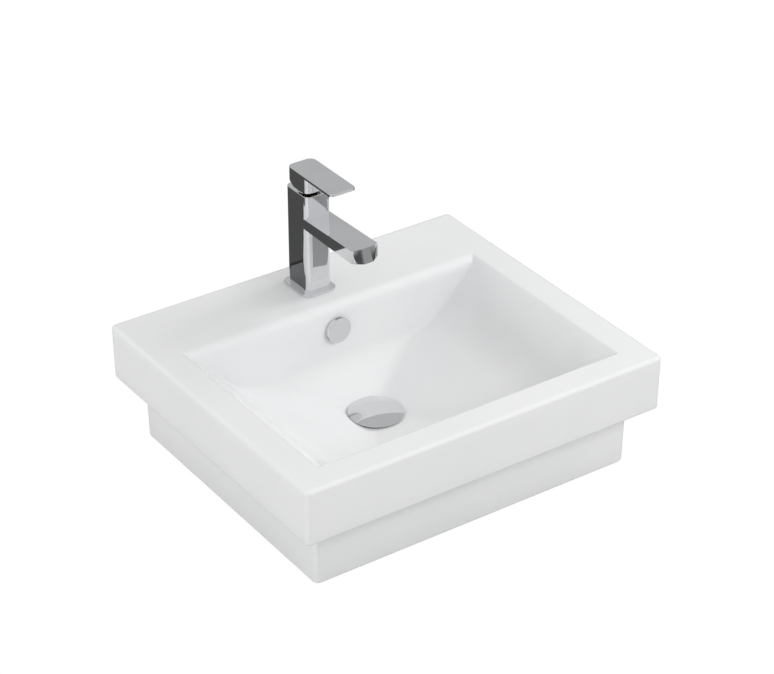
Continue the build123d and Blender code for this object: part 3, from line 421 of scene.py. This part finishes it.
# Stage, light and camera: the floor is white to the camera, and reflections pass through it
AMBIENT, SKY = 0.67, 0.90
floor_mesh = bpy.data.meshes.new("floor")
floor_mesh.from_pydata([(-6, -6, 0), (6, -6, 0), (6, 6, 0), (-6, 6, 0)], [], [(0, 1, 2, 3)])
floor = bpy.data.objects.new("floor", floor_mesh)
floor.location.z = -0.0005
bpy.context.scene.collection.objects.link(floor)
pale, ns, links, shader = material("pale_floor", (0.62, 0.62, 0.62), rough=0.9)
glow = ns.new("ShaderNodeEmission")
glow.inputs["Color"].default_value = (1, 1, 1, 1)
glow.inputs["Strength"].default_value = 1.05
path = ns.new("ShaderNodeLightPath")
blend = ns.new("ShaderNodeMixShader")
seen = ns.new("ShaderNodeMath")
seen.operation = "MULTIPLY"
seen.inputs[1].default_value = 0.92
links.new(path.outputs["Is Camera Ray"], seen.inputs[0])
links.new(seen.outputs["Value"], blend.inputs["Fac"])
links.new(shader.outputs["BSDF"], blend.inputs[1])
links.new(glow.outputs["Emission"], blend.inputs[2])
links.new(blend.outputs["Shader"], ns["Material Output"].inputs["Surface"])
dress(floor, pale)
floor.visible_glossy = False

world = bpy.data.worlds.new("studio")
bpy.context.scene.world = world
world.use_nodes = True
wn, wl = world.node_tree.nodes, world.node_tree.links
direction = wn.new("ShaderNodeTexCoord")


def card(towards, inner, outer, strength):
    """Brightness of a soft round card in one direction, angles in degrees. Below zero it darkens."""
    dot = wn.new("ShaderNodeVectorMath")
    dot.operation = "DOT_PRODUCT"
    dot.inputs[1].default_value = Vector(towards).normalized()
    wl.new(direction.outputs["Generated"], dot.inputs[0])
    fade = wn.new("ShaderNodeMapRange")
    fade.interpolation_type = "SMOOTHSTEP"
    fade.inputs["From Min"].default_value = cos(radians(outer))
    fade.inputs["From Max"].default_value = cos(radians(inner))
    fade.inputs["To Min"].default_value = 0.0
    fade.inputs["To Max"].default_value = strength
    wl.new(dot.outputs["Value"], fade.inputs["Value"])
    return fade.outputs["Result"]


def total(values):
    """The sum of several values."""
    made = values[0]
    for value in values[1:]:
        plus = wn.new("ShaderNodeMath")
        plus.operation = "ADD"
        wl.new(made, plus.inputs[0])
        wl.new(value, plus.inputs[1])
        made = plus.outputs["Value"]
    return made


seen_in_gloss = total([
    card((0, 0, 1), 60, 92, SKY),
    card((0.4855, 0.7041, 0.5183), 20, 36, -0.33),
    card((-0.4855, 0.7041, 0.5183), 12, 26, -0.45),
    card((-0.704, -0.486, -0.518), 14, 30, 0.80),
    card((0.4855, -0.7041, -0.5183), 15, 50, 0.42),
    card((0, 0, 1), 170, 180, 0.10),
])
even = wn["Background"]
even.inputs["Color"].default_value = (1.0, 1.0, 1.0, 1.0)
even.inputs["Strength"].default_value = AMBIENT
gloss = wn.new("ShaderNodeBackground")
wl.new(seen_in_gloss, gloss.inputs["Strength"])
ray = wn.new("ShaderNodeLightPath")
choice = wn.new("ShaderNodeMixShader")
wl.new(ray.outputs["Is Glossy Ray"], choice.inputs["Fac"])
wl.new(even.outputs["Background"], choice.inputs[1])
wl.new(gloss.outputs["Background"], choice.inputs[2])
wl.new(choice.outputs["Shader"], wn["World Output"].inputs["Surface"])


def softbox(name, place, aim, size_x, size_y, power):
    """A rectangular soft light that points at aim."""
    data = bpy.data.lights.new(name, "AREA")
    data.shape = "RECTANGLE"
    data.size = size_x
    data.size_y = size_y
    data.energy = power
    lamp = bpy.data.objects.new(name, data)
    bpy.context.scene.collection.objects.link(lamp)
    lamp.location = place
    lamp.rotation_mode = "QUATERNION"
    lamp.rotation_quaternion = (Vector(aim) - Vector(place)).to_track_quat("-Z", "Y")
    lamp.visible_glossy = False
    return lamp


softbox("front", (0.9, -2.5, 2.2), (0, 0, 0.1), 1.4, 1.4, 34.0)
softbox("right", (2.6, 0.1, 1.9), (0, 0, 0.1), 1.2, 1.2, 22.0)
softbox("left", (-2.6, 0.4, 0.22), (0, 0, 0.05), 1.4, 0.36, 21.0)


def flag(name, corners, height, cover):
    """A dark card that only reflections see, and only from above."""
    mesh = bpy.data.meshes.new(name)
    mesh.from_pydata([(x * MM, y * MM, height * MM) for x, y in corners], [], [(0, 1, 2, 3)])
    made = bpy.data.objects.new(name, mesh)
    bpy.context.scene.collection.objects.link(made)
    made.visible_camera = made.visible_diffuse = made.visible_shadow = False
    dark, ns, links, shader = material(name, (0.01, 0.01, 0.01), rough=1.0)
    clear = ns.new("ShaderNodeBsdfTransparent")
    face = ns.new("ShaderNodeNewGeometry")
    scale = ns.new("ShaderNodeMapRange")
    scale.inputs["To Min"].default_value = cover
    scale.inputs["To Max"].default_value = 0.0
    blend = ns.new("ShaderNodeMixShader")
    links.new(face.outputs["Backfacing"], scale.inputs["Value"])
    links.new(scale.outputs["Result"], blend.inputs["Fac"])
    links.new(clear.outputs["BSDF"], blend.inputs[1])
    links.new(shader.outputs["BSDF"], blend.inputs[2])
    links.new(blend.outputs["Shader"], ns["Material Output"].inputs["Surface"])
    dress(made, dark)


flag("flag_front", [(10, 108), (120, -60), (300, -20), (180, 150)], 175.0, 0.55)
flag("flag_left", [(-22, 150), (-22, 224), (-90, 224), (-60, 150)], 160.5, 0.80)

eye = Vector((-1.5309, -2.2274, 1.8010))
look = Vector((0.4855, 0.7041, -0.5183))
camera_data = bpy.data.cameras.new("camera")
camera_data.sensor_width = 36.0
camera_data.lens = 119.13
camera_data.clip_end = 50.0
camera = bpy.data.objects.new("camera", camera_data)
bpy.context.scene.collection.objects.link(camera)
camera.location = eye
camera.rotation_mode = "QUATERNION"
camera.rotation_quaternion = look.to_track_quat("-Z", "Y")
bpy.context.scene.camera = camera
bpy.context.scene.view_settings.view_transform = "Standard"
